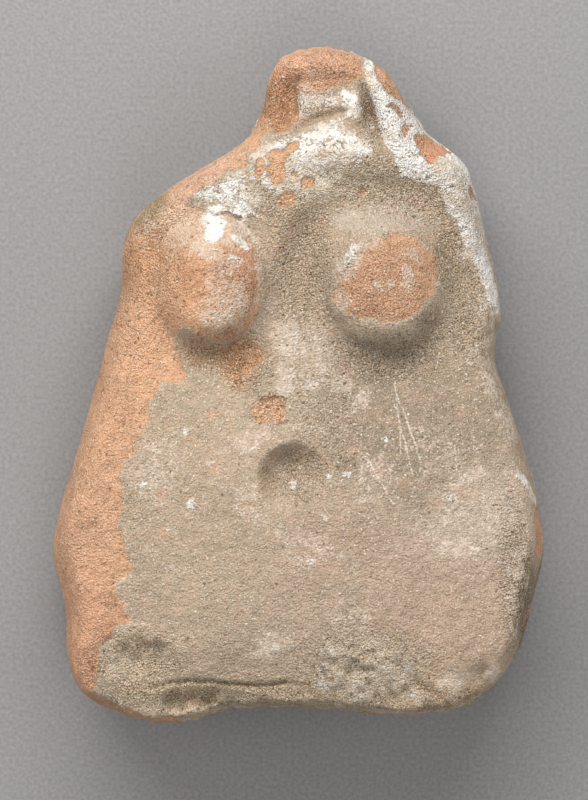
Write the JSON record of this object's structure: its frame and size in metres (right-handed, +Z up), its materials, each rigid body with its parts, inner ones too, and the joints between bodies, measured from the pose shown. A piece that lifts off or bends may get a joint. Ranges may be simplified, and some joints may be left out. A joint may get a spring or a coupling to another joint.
{
  "type": "female torso figurine",
  "caption": "Hand-modelled terracotta fragment of a female torso with broken neck, lost arms, knob breasts and a dented navel; lies on its back.",
  "frame": {"origin": "on the surface the piece lies on, under the middle of its box", "axes": "+Z up, out of the front of the figure; +Y towards the neck; +X towards the right-hand side seen from the front"},
  "size_m": [0.0906, 0.125, 0.0327],
  "materials": {
    "terracotta": "matt fired clay with worn grey-buff and white coating"
  },
  "bodies": {
    "root": {"torso": "terracotta"}
  },
  "joints": []
}
